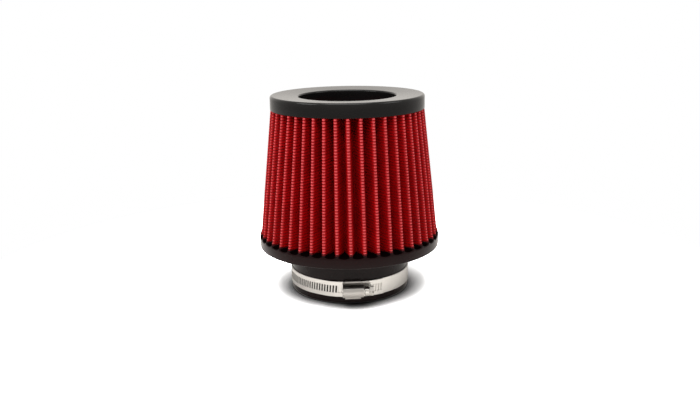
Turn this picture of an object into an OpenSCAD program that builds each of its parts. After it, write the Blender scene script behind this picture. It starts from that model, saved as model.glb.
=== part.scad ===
// Cone air filter with a clamp-on inlet: a tapered ring of pleated gauze between a moulded
// base and a moulded cap, an inverted pleated cone inside the cap's opening, and a worm-drive
// band clamp round the inlet neck. Millimetres, +Z up, origin at the centre of the foot.
// Angles round the axis are counted from -Y, where the clamp's screw is, towards +X.

/* [Inlet neck] */
// Bore of the inlet, a standard pipe size
inlet_bore = 88.9; // [80:0.1:100]
// Wall of the neck
neck_wall = 5.25; // [4.5:0.05:8]
// Length of the neck below the rim
neck_len = 38.1; // [32:0.1:60]
// Rounding of the foot's outer edge
foot_round = 2; // [1:0.1:2.6]
// Chamfer at both ends of the bore
bore_chamfer = 1; // [0.4:0.1:1.4]

/* [Base rim] */
// Diameter of the rim
rim_d = 152.4; // [148:0.1:170]
// Height of the rim
rim_h = 13; // [11:0.1:18]
// Rounding of the rim's lower edge
rim_round = 0.8; // [0.4:0.1:3]
// Rounding of the corner where the neck meets the rim
neck_fillet = 3; // [1:0.1:6]
// Step from the rim's face in to the pleats
rim_land = 1.7; // [0.6:0.1:2.5]
// Height by which that step slopes down outwards
land_drop = 1.9; // [0.5:0.1:3]
// Radius of the scallop below each valley, at the rim's face
scallop_r = 4; // [3:0.1:4.2]
// Radius of the scallop at its inner end
scallop_root_r = 2.7; // [1.5:0.1:2.9]
// Radial depth of the scallops
scallop_depth = 5.7; // [3:0.1:7]
// Height of the straight mouth above the scallop's round floor
scallop_mouth = 0.5; // [0.2:0.1:2]

/* [Outer pleats] */
// Number of pleats
pleats = 44; // [38:1:46]
// Height of the pleats between base and cap
pleat_h = 102.4; // [80:0.1:180]
// Depth of a pleat
pleat_depth = 14; // [10:0.1:15]
// Thickness of the folded gauze with its wire screens
gauze_t = 1.5; // [1:0.05:1.6]
// Rounding of a pleat's tip
pleat_tip_round = 1.8; // [1.7:0.05:2]
// Rounding of a pleat's root
pleat_root_round = 0.55; // [0.3:0.05:0.8]
// Sideways wander of the folds under the cap, in degrees
fold_wander = 1.5; // [0:0.1:2]

/* [Cap] */
// Diameter of the cap
cap_d = 127.7; // [124:0.1:132]
// Thickness of the cap
cap_h = 11.6; // [10:0.1:20]
// Diameter of the opening
opening_d = 81; // [79:0.1:84]
// Step from the cap's face in to the pleats
cap_land = 0.4; // [0.2:0.1:1]
// Rounding of the cap's outer top edge
cap_round = 1.2; // [0.4:0.1:2.5]
// Rounding of the opening's edge
opening_round = 4.5; // [0.5:0.1:5]

/* [Inner cone] */
// Number of pleats of the inner cone
inner_pleats = 28; // [20:1:30]
// Height of the inner cone
inner_h = 65; // [40:0.5:75]
// Depth of a pleat of the inner cone
inner_depth = 7.5; // [5:0.1:8.5]
// Gap between the two pleat packs under the cap
pack_gap = 0.6; // [0.4:0.1:1.5]
// Diameter of the disc that closes the inner cone
inner_cap_d = 59; // [56:0.5:64]
// Thickness of that disc
inner_cap_h = 8; // [5:0.5:12]

/* [Clamp band] */
// Width of the band
band_w = 12.7; // [10:0.1:14]
// Thickness of the band
band_t = 0.7; // [0.5:0.05:0.9]
// Height of the band's lower edge above the foot
band_z = 6.4; // [4:0.1:10]
// Distance between two slots
slot_pitch = 2.48; // [2.3:0.02:3]
// Angle from the screw's middle to the slot nearest to it, in degrees
slot_phase = 1.5; // [0:0.1:2.8]
// Width of a slot
slot_w = 1.4; // [1.3:0.05:1.5]
// Height of a slot
slot_h = 6.2; // [5:0.1:7]
// Lean of the slots, in degrees
slot_lean = 5; // [0:0.5:6]
// Number of slots on the tail, past the screw's middle
tail_slots = 9; // [8:1:12]
// Number of slots on the other side of the screw's middle
run_slots = 32; // [20:1:40]

/* [Clamp housing and screw] */
// Length of the housing
housing_l = 16.9; // [15:0.1:20]
// Length of the flaps that fold round the band's edges
flap_l = 12.8; // [9:0.1:14]
// Thickness of the housing's sheet
housing_t = 0.85; // [0.6:0.05:1]
// Outer radius of the worm
worm_r = 4; // [3.8:0.1:4.2]
// Depth of the worm's thread
thread_depth = 0.8; // [0.7:0.05:1]
// Distance that the thread reaches into the slots
thread_reach = 0.6; // [0.4:0.05:0.6]
// Width of the thread at its crest
crest_w = 0.55; // [0.3:0.05:0.6]
// Radius of the screw's two journals
journal_r = 2.3; // [1.8:0.1:2.6]
// Size of the hexagon across its flats
hex_flats = 7.2; // [6:0.1:7.4]
// Length of the hexagon
hex_l = 3.5; // [2.5:0.1:5]
// Length of the collar under the hexagon
collar_l = 3.5; // [1:0.1:4]

/* [Hidden] */
round_fn = 96;

neck_r = inlet_bore / 2 + neck_wall;
rim_r = rim_d / 2;
rim_top = neck_len + rim_h;
cap_z = rim_top + pleat_h;
cap_top = cap_z + cap_h;
cap_r = cap_d / 2;
opening_r = opening_d / 2;

// Radii of the outer pleats' tips and roots at the base and under the cap
tip_base_r = rim_r - rim_land;
tip_cap_r = cap_r - cap_land;
fold_phase = -1.5;
wander_waves = 4;
wander_zero = 8.4;
wander_base_share = 0.25;

// The inner cone hangs from the cap, just inside the outer pleats
inner_tip_top_r = tip_cap_r - pleat_depth - gauze_t - pack_gap;
inner_tip_low_r = inner_cap_d / 2 - 1.5;
inner_z = cap_z - inner_h;
inner_tip_round = 1.75;
inner_root_round = 0.3;
lip_r = inner_tip_top_r - inner_depth - gauze_t - 0.4;
lip_h = 1.4;
lip_slope_h = 2.6;

// The band lies round the neck, and its slotted end climbs over its fixed end
fit_gap = 0.05;
layer_gap = 0.1;
band_r = neck_r + fit_gap;
layer_rise = band_t + layer_gap;
outer_layer_r = band_r + layer_rise;
slot_step = slot_pitch / outer_layer_r * 180 / PI;
fixed_end = -14;
ramp_start = 326;
ramp_end = 341;
tail_margin = 1;
tail_end = 360 + slot_phase + (tail_slots + tail_margin) * slot_step;
band_step = 2.5;
band_mid = band_z + band_w / 2;
overlap_margin = 3;

// The screw's axis lies so that the thread reaches into the slots
worm_root_r = worm_r - thread_depth;
screw_y = outer_layer_r + band_t + worm_r - thread_reach;
tunnel_r = worm_r + 0.3;
wall_reach = screw_y - outer_layer_r - band_t - 0.25;
dome_r = tunnel_r + housing_t + 0.15;
end_wall = 1;
end_play = 0.1;
journal_gap = 0.07;
worm_l = housing_l - 2 * end_wall - 2 * end_play;
flap_gap = 0.15;
flap_in = band_w / 2 + flap_gap;
flap_out = flap_in + housing_t;
thread_turns = 3;
collar_r = 3.9;
collar_gap = 0.8;
neck_groove = 0.4;
driver_slot_w = 1.2;
driver_slot_d = 1.8;

black = "#1c1b1b";
red = "#b01218";
steel = "#c4c3be";

function turn(a) = a - 360 * floor(a / 360);
function along(a) = [cos(a), sin(a)];
function heading(v) = atan2(v[1], v[0]);
function smooth(t) = t <= 0 ? 0 : t >= 1 ? 1 : t * t * (3 - 2 * t);
function arc(c, r, a0, a1, n = 6) = [for (i = [0:n]) c + r * along(a0 + (a1 - a0) * i / n)];

// Direction of fold number i from the axis, with its wander
function fold_dir(i, count, phase, wander) =
    let (a = phase + 360 * i / count)
    a - 90 + wander * sin(wander_waves * (a - wander_zero));

// A ring of folds in plan: tips of one radius, roots of another, joined by straight legs.
// in_by moves the line towards the axis side of the sheet, for its other face.
function fold_ring(count, phase, wander, tip_r, root_r, tip_round, root_round, in_by,
                   tip_steps, root_steps) =
    let (
        dirs = [for (i = [-1:count]) fold_dir(i, count, phase, wander)],
        tips = [for (d = dirs) (tip_r - tip_round) * along(d)],
        roots = [for (i = [0:count])
                 (root_r + root_round) * along((dirs[i] + dirs[i + 1]) / 2)],
        both = tip_round + root_round,
        down = [for (i = [0:count]) heading(roots[i] - tips[i])
                + asin(both / norm(roots[i] - tips[i]))],
        up = [for (i = [0:count]) heading(tips[i + 1] - roots[i])
              + asin(both / norm(tips[i + 1] - roots[i]))]
    )
    [for (i = [1:count]) each concat(
        [for (j = [0:tip_steps])
            let (h = up[i - 1] + turn(down[i] - up[i - 1]) * j / tip_steps)
            tips[i] + (tip_round - in_by) * along(h - 90)],
        [for (j = [0:root_steps])
            let (h = down[i] - turn(down[i] - up[i]) * j / root_steps)
            roots[i] + (root_round + in_by) * along(h + 90)]
    )];

function lift(ring, z) = [for (p = ring) [p[0], p[1], z]];

// A closed sheet of folds between two heights
module pleated_sheet(low_out, low_in, high_out, high_in, z0, z1) {
    n = len(low_out);
    points = concat(lift(low_out, z0), lift(high_out, z1), lift(low_in, z0), lift(high_in, z1));
    faces = [for (i = [0:n - 1])
        let (j = (i + 1) % n, ob = 0, ot = n, ib = 2 * n, it = 3 * n)
        each [
            [ob + i, ot + i, ot + j], [ob + i, ot + j, ob + j],
            [ib + i, it + j, it + i], [ib + i, ib + j, it + j],
            [ot + i, it + i, it + j], [ot + i, it + j, ot + j],
            [ob + i, ib + j, ib + i], [ob + i, ob + j, ib + j]
        ]];
    polyhedron(points, faces, convexity = 20);
}

// Outline of the base's section, from the bore outwards
function base_outline() = concat(
    [[inlet_bore / 2, bore_chamfer], [inlet_bore / 2 + bore_chamfer, 0]],
    arc([neck_r - foot_round, foot_round], foot_round, -90, 0),
    arc([neck_r + neck_fillet, neck_len - neck_fillet], neck_fillet, 180, 90),
    arc([rim_r - rim_round, neck_len + rim_round], rim_round, -90, 0),
    [[rim_r, rim_top - land_drop], [rim_r - rim_land + 0.1, rim_top],
     [inlet_bore / 2 + bore_chamfer, rim_top],
     [inlet_bore / 2, rim_top - bore_chamfer]]
);

// One scallop in the rim's upper edge, widening outwards: a round floor below a straight mouth
module scallop(a) {
    reach = 2;
    flare = (scallop_r - scallop_root_r) / scallop_depth;
    out_r = scallop_r + reach * flare;
    mouth_share = 0.97;
    overlap = 0.6;
    rotate([0, 0, a])
        translate([0, -(rim_r - scallop_depth), rim_top - scallop_mouth]) {
            rotate([90, 0, 0])
                cylinder(h = scallop_depth + reach, r1 = scallop_root_r, r2 = out_r, $fn = 32);
            translate([0, 0, -overlap])
                linear_extrude(overlap + scallop_mouth + 1)
                    polygon([
                        [-mouth_share * scallop_root_r, 0],
                        [-mouth_share * out_r, -scallop_depth - reach],
                        [mouth_share * out_r, -scallop_depth - reach],
                        [mouth_share * scallop_root_r, 0]
                    ]);
        }
}

module base_flange() {
    color(black)
        difference() {
            rotate_extrude($fn = round_fn) polygon(base_outline());
            for (i = [0:pleats - 1]) {
                a = fold_dir(i, pleats, fold_phase, fold_wander * wander_base_share);
                b = fold_dir(i + 1, pleats, fold_phase, fold_wander * wander_base_share);
                scallop((a + b) / 2 + 90);
            }
        }
}

function outer_ring(share, tip_r, in_by) =
    fold_ring(pleats, fold_phase, fold_wander * share, tip_r, tip_r - pleat_depth,
              pleat_tip_round, pleat_root_round, in_by, 5, 3);

module outer_pleats() {
    color(red)
        pleated_sheet(outer_ring(wander_base_share, tip_base_r, 0),
                      outer_ring(wander_base_share, tip_base_r, gauze_t),
                      outer_ring(1, tip_cap_r, 0),
                      outer_ring(1, tip_cap_r, gauze_t),
                      rim_top, cap_z);
}

function inner_ring(tip_r, in_by) =
    fold_ring(inner_pleats, 0, 0, tip_r, tip_r - inner_depth,
              inner_tip_round, inner_root_round, in_by, 4, 4);

module inner_cone() {
    color(red)
        pleated_sheet(inner_ring(inner_tip_low_r, 0), inner_ring(inner_tip_low_r, gauze_t),
                      inner_ring(inner_tip_top_r, 0), inner_ring(inner_tip_top_r, gauze_t),
                      inner_z, cap_z);
}

// Outline of the cap's section: flat face, opening with a small lip at its lower end
function cap_outline() = concat(
    [[lip_r, cap_z]],
    arc([cap_r - 0.6, cap_z + 0.6], 0.6, -90, 0, 3),
    arc([cap_r - cap_round, cap_top - cap_round], cap_round, 0, 90),
    arc([opening_r + opening_round, cap_top - opening_round], opening_round, 90, 180),
    [[opening_r, cap_z + lip_h + lip_slope_h], [lip_r, cap_z + lip_h]]
);

module top_cap() {
    color(black) rotate_extrude($fn = round_fn) polygon(cap_outline());
}

// Disc with a rounded edge and a shallow dish on top
module inner_cap() {
    r = inner_cap_d / 2;
    edge = 2;
    dish_r = inner_tip_low_r - inner_depth - gauze_t - 2;
    dish_d = 1.5;
    color(black)
        rotate_extrude($fn = round_fn)
            polygon(concat(
                [[0, inner_z - inner_cap_h]],
                arc([r - edge, inner_z - inner_cap_h + edge], edge, -90, 0),
                [[r, inner_z], [dish_r, inner_z], [dish_r - dish_d, inner_z - dish_d],
                 [0, inner_z - dish_d]]
            ));
}

// Inner radius of the band at angle a: it climbs by one layer where its ends overlap
function band_line(a) = band_r + layer_rise * smooth((a - ramp_start) / (ramp_end - ramp_start));
function band_point(a, out) = (band_line(a) + out) * [sin(a), -cos(a)];

module slot_tool(a, r0, r1) {
    rotate([0, 0, a])
        translate([0, -(r0 + r1) / 2, band_mid])
            rotate([0, slot_lean, 0])
                cube([slot_w, r1 - r0, slot_h], center = true);
}

module clamp_band() {
    steps = ceil((tail_end - fixed_end) / band_step);
    angles = [for (i = [0:steps]) fixed_end + (tail_end - fixed_end) * i / steps];
    outside = [for (a = angles) band_point(a, band_t)];
    inside = [for (i = [steps:-1:0]) band_point(angles[i], 0)];
    out_r = outer_layer_r + band_t + 1;
    color(steel)
        difference() {
            translate([0, 0, band_z])
                linear_extrude(band_w) polygon(concat(outside, inside));
            for (k = [-tail_slots:run_slots]) {
                a = slot_phase - k * slot_step;
                // Where the ends overlap, only the outer layer is slotted
                over_fixed_end = a > fixed_end - overlap_margin;
                slot_tool(a, over_fixed_end ? outer_layer_r - layer_gap / 2 : neck_r - 1, out_r);
            }
        }
}

// Section of the tunnel over the worm, seen along the screw: round on the outside, straight
// sides down to just above the band
module tunnel_section(r) {
    intersection() {
        union() {
            circle(r, $fn = 64);
            translate([-r, 0]) square([2 * r, r]);
        }
        translate([-r, -r]) square([2 * r, r + wall_reach]);
    }
}

// Section of the flaps: down the tunnel's sides and round both edges of the band
module flap_section() {
    foot = screw_y - band_r - fit_gap;
    shoulder = foot - 2.4;
    difference() {
        polygon([[-dome_r, 0], [dome_r, 0], [flap_out, shoulder], [flap_out, foot],
                 [-flap_out, foot], [-flap_out, shoulder]]);
        polygon([[-tunnel_r, 0.2], [tunnel_r, 0.2], [flap_in, shoulder + 0.3],
                 [flap_in, foot + 1], [-flap_in, foot + 1], [-flap_in, shoulder + 0.3]]);
    }
}

// Lays a section, drawn across the screw, along the screw's axis
module along_screw(l, x = 0) {
    translate([x - l / 2, -screw_y, band_mid])
        rotate([0, 90, 0])
            linear_extrude(l) children();
}

module clamp_housing() {
    wall_x = (housing_l - end_wall) / 2;
    color(steel)
        difference() {
            union() {
                along_screw(housing_l) tunnel_section(dome_r);
                along_screw(flap_l) flap_section();
            }
            along_screw(housing_l - 2 * end_wall) tunnel_section(tunnel_r);
            along_screw(housing_l + 2) circle(journal_r + journal_gap, $fn = 48);
        }
}

module screw_rod(x0, x1, r0, r1, fn = 64) {
    translate([x0, -screw_y, band_mid])
        rotate([0, 90, 0])
            cylinder(h = x1 - x0, r1 = r0, r2 = r1, $fn = fn);
}

// Worm with its thread as rings that match the slots under it, journals, collar and hexagon
module clamp_screw() {
    half = worm_l / 2;
    end_x = housing_l / 2;
    root_w = crest_w + 0.5;
    collar_x = end_x + collar_gap;
    hex_x = collar_x + collar_l + neck_groove;
    hex_end = hex_x + hex_l;
    hex_corner = hex_flats / 2 / cos(30);
    tip_x = -end_x - 0.4;
    color(steel)
        difference() {
            union() {
                screw_rod(-half, half, worm_root_r, worm_root_r);
                for (k = [-thread_turns:thread_turns - 1]) {
                    x = (outer_layer_r + band_t) * sin(slot_phase + k * slot_step);
                    screw_rod(x - root_w / 2, x - crest_w / 2, worm_root_r, worm_r);
                    screw_rod(x - crest_w / 2, x + crest_w / 2, worm_r, worm_r);
                    screw_rod(x + crest_w / 2, x + root_w / 2, worm_r, worm_root_r);
                }
                screw_rod(tip_x, hex_end - 1, journal_r, journal_r);
                screw_rod(collar_x, collar_x + collar_l, collar_r, collar_r);
                intersection() {
                    screw_rod(hex_x, hex_end, hex_corner, hex_corner, 6);
                    screw_rod(hex_x, hex_end, hex_corner + hex_l - 0.8, hex_corner - 0.8);
                }
            }
            translate([hex_end - driver_slot_d, -screw_y - hex_flats, band_mid - driver_slot_w / 2])
                cube([driver_slot_d + 1, 2 * hex_flats, driver_slot_w]);
        }
}

base_flange();
outer_pleats();
top_cap();
inner_cone();
inner_cap();
clamp_band();
clamp_housing();
clamp_screw();
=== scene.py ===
"""Looks for a clamp-on cone air filter: pleated gauze under a wire screen, moulded urethane
base and cap, and a stainless worm-drive clamp. Lengths are metres; angles round the filter's
axis are counted from -Y, where the clamp's screw is, towards +X."""
import math

import bmesh
import bpy
from bpy.props import FloatProperty, FloatVectorProperty, IntProperty, PointerProperty
from mathutils import Matrix, Vector


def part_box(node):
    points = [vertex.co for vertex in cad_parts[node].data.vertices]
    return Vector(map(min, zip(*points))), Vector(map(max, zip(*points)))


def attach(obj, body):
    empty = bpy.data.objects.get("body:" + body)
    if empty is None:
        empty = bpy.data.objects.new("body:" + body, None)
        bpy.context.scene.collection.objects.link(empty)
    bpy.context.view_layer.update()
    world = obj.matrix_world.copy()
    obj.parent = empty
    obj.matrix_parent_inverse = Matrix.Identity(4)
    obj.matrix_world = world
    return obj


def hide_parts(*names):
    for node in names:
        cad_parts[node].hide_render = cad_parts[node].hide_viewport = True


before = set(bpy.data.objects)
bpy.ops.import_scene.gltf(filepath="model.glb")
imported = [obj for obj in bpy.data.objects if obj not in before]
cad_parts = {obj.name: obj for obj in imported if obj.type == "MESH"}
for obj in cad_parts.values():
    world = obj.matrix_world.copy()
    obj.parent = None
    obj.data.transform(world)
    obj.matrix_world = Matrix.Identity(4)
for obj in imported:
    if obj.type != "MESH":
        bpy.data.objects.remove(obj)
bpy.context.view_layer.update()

bl_info = {
    "name": "Cone Air Filter Dresser",
    "version": (1, 0, 0),
    "blender": (4, 5, 0),
    "location": "View3D > Sidebar > Air Filter",
    "description": "Builds the pleats, screens, mouldings and clamp of a cone air filter",
    "category": "Object",
}

MM = 0.001
ROOT_BODY = "filter"
SCREW_BODY = "screw"

# Tint of the studio that gloss mirrors
WARM = (1.0, 0.955, 0.9)

# Cells of the screen that lie below the rim's highest edge, down in the base
SUNK_CELLS = 2

# Steps round a fold's tip, along each of its legs and round its root
FOLD_STEPS = (4, 2, 2)
INNER_FOLD_STEPS = (4, 2, 4)
UPRIGHT_STEPS = (6, 5, 3)

# Rows of points from one hoop wire to the next, and in all on the sheet's plain face
ROWS_PER_CELL = 4
PLAIN_ROWS = 8

# Shape of the gauze's bulge between two hoops: 1 is a sine, less is fuller
BULGE_SHAPE = 0.8

# The outer folds' sideways wander: waves round the filter, the angle where it is nought, and
# its share at the base of what it is under the cap
WANDER_WAVES = 4
WANDER_ZERO = math.radians(8.4)
WANDER_AT_BASE = 0.25

# Urethane-wetted gauze: in the folds with painted shade, on the tips with a painted highlight
WETTED_FOLD_SHADE = (0.0018, 0.0006, 0.0006)
WETTED_TIP_HIGHLIGHT = (0.024, 0.006, 0.0075)

# Groove between the screw's collar and its hexagon
NECK_GROOVE = 0.4 * MM

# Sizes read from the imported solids
RIM_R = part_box("base_flange")[1].x
RIM_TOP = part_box("base_flange")[1].z
CAP_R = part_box("top_cap")[1].x
CAP_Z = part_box("top_cap")[0].z
CAP_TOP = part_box("top_cap")[1].z
INNER_LOW_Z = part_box("inner_cone")[0].z
HOUSING_LOW, HOUSING_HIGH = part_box("clamp_housing")
SCREW_LOW, SCREW_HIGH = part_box("clamp_screw")
SCREW_Y = (SCREW_LOW.y + SCREW_HIGH.y) / 2
SCREW_Z = (SCREW_LOW.z + SCREW_HIGH.z) / 2


# Geometry helpers

def along(angle):
    """Unit vector at an angle in radians."""
    return Vector((math.cos(angle), math.sin(angle)))


def link_mesh(name, vertices, faces, smooth=True):
    """A new mesh object in the scene."""
    mesh = bpy.data.meshes.new(name)
    mesh.from_pydata([tuple(v) for v in vertices], [], faces)
    mesh.validate()
    if smooth:
        mesh.polygons.foreach_set("use_smooth", [True] * len(mesh.polygons))
    piece = bpy.data.objects.new(name, mesh)
    bpy.context.scene.collection.objects.link(piece)
    return piece


def turn_faces_out(piece):
    """Makes a closed mesh's normals point outwards."""
    shell = bmesh.new()
    shell.from_mesh(piece.data)
    bmesh.ops.recalc_face_normals(shell, faces=shell.faces)
    shell.to_mesh(piece.data)
    shell.free()


def apply_modifiers(piece):
    """Turns a piece's modifiers into plain mesh."""
    graph = bpy.context.evaluated_depsgraph_get()
    mesh = bpy.data.meshes.new_from_object(piece.evaluated_get(graph))
    piece.modifiers.clear()
    piece.data = mesh


def seat(piece, material, body=ROOT_BODY, stands_for=()):
    """Gives a finished piece its material and body, and hides the solids that it stands for."""
    piece.data.materials.clear()
    piece.data.materials.append(material)
    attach(piece, body)
    if stands_for:
        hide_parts(*stands_for)


def mark_sharp(piece, degrees=32):
    """Keeps the creases of a smooth-shaded piece crisp."""
    shell = bmesh.new()
    shell.from_mesh(piece.data)
    for edge in shell.edges:
        if len(edge.link_faces) == 2:
            edge.smooth = edge.calc_face_angle() < math.radians(degrees)
    shell.to_mesh(piece.data)
    shell.free()


def merged(name, pieces):
    """Moves several pieces' closed shells into one new piece."""
    shell = bmesh.new()
    for piece in pieces:
        shell.from_mesh(piece.data)
        bpy.data.objects.remove(piece)
    mesh = bpy.data.meshes.new(name)
    shell.to_mesh(mesh)
    shell.free()
    whole = bpy.data.objects.new(name, mesh)
    bpy.context.scene.collection.objects.link(whole)
    return whole


def heading(v):
    """Angle of a plan vector in radians."""
    return math.atan2(v.y, v.x)


def rounded(points, passes=3):
    """An open line with its corners cut round, its two ends kept."""
    for _ in range(passes):
        line = [points[0]]
        for a, b in zip(points, points[1:]):
            line += [a.lerp(b, 0.25), a.lerp(b, 0.75)]
        points = line + [points[-1]]
    return points


def lathe(name, sections):
    """A closed ring round the filter's axis from sections, each an angle in radians and a
    closed profile of (radius, z) points."""
    n = len(sections[0][1])
    vertices = []
    for angle, profile in sections:
        way = along(angle)
        vertices += [(way.x * r, way.y * r, z) for r, z in profile]
    faces = []
    for k in range(len(sections)):
        a, b = k * n, ((k + 1) % len(sections)) * n
        faces += [(a + i, a + (i + 1) % n, b + (i + 1) % n, b + i) for i in range(n)]
    piece = link_mesh(name, vertices, faces)
    turn_faces_out(piece)
    return piece


def arc(centre_r, centre_z, radius, start, end, steps=6):
    """Points (radius, z) of an arc between two angles in degrees."""
    angles = [math.radians(start + (end - start) * k / steps) for k in range(steps + 1)]
    return [(centre_r + radius * math.cos(a), centre_z + radius * math.sin(a)) for a in angles]


def on_screw(x, up, out):
    """A point at x along the screw, above its axis and out from it towards -Y."""
    return Vector((x, SCREW_Y - out, SCREW_Z + up))


def leg_points(start, end, steps):
    """The points that part a fold's straight leg into steps, without its two ends."""
    return [start + (end - start) * (j / steps) for j in range(1, steps)]


class Folds:
    """A ring of folds in plan, with tips and roots that change evenly from low_z to high_z."""

    def __init__(self, count, phase, low_z, high_z, low_tip, high_tip, depth,
                 tip_round, root_round, wander=(0, 0), flare=(0, 0)):
        self.count, self.phase = count, phase
        self.low_z, self.high_z = low_z, high_z
        self.low_tip, self.high_tip, self.depth = low_tip, high_tip, depth
        self.tip_round, self.root_round = tip_round, root_round
        self.wander = wander
        self.flare, self.flare_h = flare

    def share(self, z):
        """How far up the folds height z lies: 0 at low_z, 1 at high_z."""
        return (z - self.low_z) / (self.high_z - self.low_z)

    def direction(self, i, z):
        """Direction of fold i from the axis at height z, in radians."""
        a = self.phase + math.tau * i / self.count
        t = self.share(z)
        wander = self.wander[0] * (1 - t) + self.wander[1] * t
        return a - math.pi / 2 + wander * math.sin(WANDER_WAVES * (a - WANDER_ZERO))

    def line(self, z, out, tip_steps, leg_steps, root_steps):
        """Points round the ring at height z, out from the sheet's outer face. Below low_z the
        tips lean out by the flare."""
        t = self.share(z)
        tip_r = self.low_tip * (1 - t) + self.high_tip * t
        root_r = tip_r - self.depth
        if z < self.low_z:
            tip_r += self.flare * min(1.0, (self.low_z - z) / self.flare_h)
        dirs = [self.direction(i, z) for i in range(-1, self.count + 1)]
        tips = [along(d) * (tip_r - self.tip_round) for d in dirs]
        roots = [along((a + b) / 2) * (root_r + self.root_round)
                 for a, b in zip(dirs, dirs[1:])]
        both = self.tip_round + self.root_round
        down, up = [], []
        for i, root in enumerate(roots):
            fall, rise = root - tips[i], tips[i + 1] - root
            down.append(heading(fall) + math.asin(both / fall.length))
            up.append(heading(rise) + math.asin(both / rise.length))
        points = []
        for i in range(1, self.count + 1):
            swing = (down[i] - up[i - 1]) % math.tau
            for j in range(tip_steps + 1):
                h = up[i - 1] + swing * j / tip_steps
                points.append(tips[i] + along(h - math.pi / 2) * (self.tip_round + out))
            swing = (down[i] - up[i]) % math.tau
            root_arc = []
            for j in range(root_steps + 1):
                h = down[i] - swing * j / root_steps
                root_arc.append(roots[i] + along(h + math.pi / 2) * (self.root_round - out))
            points += leg_points(points[-1], root_arc[0], leg_steps) + root_arc
            next_tip = tips[i + 1] + along(up[i] - math.pi / 2) * (self.tip_round + out)
            points += leg_points(points[-1], next_tip, leg_steps)
        return points


def sheet_mesh(name, outer_rows, inner_rows):
    """A closed folded sheet from rings of points on its outer and inner faces."""
    n = len(outer_rows[0])
    vertices = [p for row in outer_rows + inner_rows for p in row]
    faces = []
    for k in range(len(outer_rows) - 1):
        a, b = k * n, (k + 1) * n
        faces += [(a + i, a + (i + 1) % n, b + (i + 1) % n, b + i) for i in range(n)]
    first = len(outer_rows) * n
    for k in range(len(inner_rows) - 1):
        a, b = first + k * n, first + (k + 1) * n
        faces += [(a + i, b + i, b + (i + 1) % n, a + (i + 1) % n) for i in range(n)]
    last_out = (len(outer_rows) - 1) * n
    last_in = first + (len(inner_rows) - 1) * n
    for i in range(n):
        j = (i + 1) % n
        faces.append((i, first + i, first + j, j))
        faces.append((last_out + i, last_out + j, last_in + j, last_in + i))
    return link_mesh(name, vertices, faces)


def wire_tubes(name, paths, radius, closed, sides=3):
    """Thin wires along paths, each path a list of (point, outward direction)."""
    vertices, faces = [], []
    for path in paths:
        n = len(path)
        first = len(vertices)
        for k, (p, out) in enumerate(path):
            before = path[k - 1][0] if (closed or k) else p
            after = path[(k + 1) % n][0] if (closed or k < n - 1) else p
            run = (after - before).normalized()
            side = run.cross(out).normalized()
            up = side.cross(run).normalized()
            for s in range(sides):
                a = math.tau * s / sides + math.pi / 2
                vertices.append(p + (side * math.cos(a) + up * math.sin(a)) * radius)
        spans = n if closed else n - 1
        for k in range(spans):
            a, b = first + k * sides, first + ((k + 1) % n) * sides
            faces += [(a + s, a + (s + 1) % sides, b + (s + 1) % sides, b + s)
                      for s in range(sides)]
        if not closed:
            faces.append(tuple(first + s for s in reversed(range(sides))))
            faces.append(tuple(first + (n - 1) * sides + s for s in range(sides)))
    return link_mesh(name, vertices, faces)


# Materials

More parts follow.
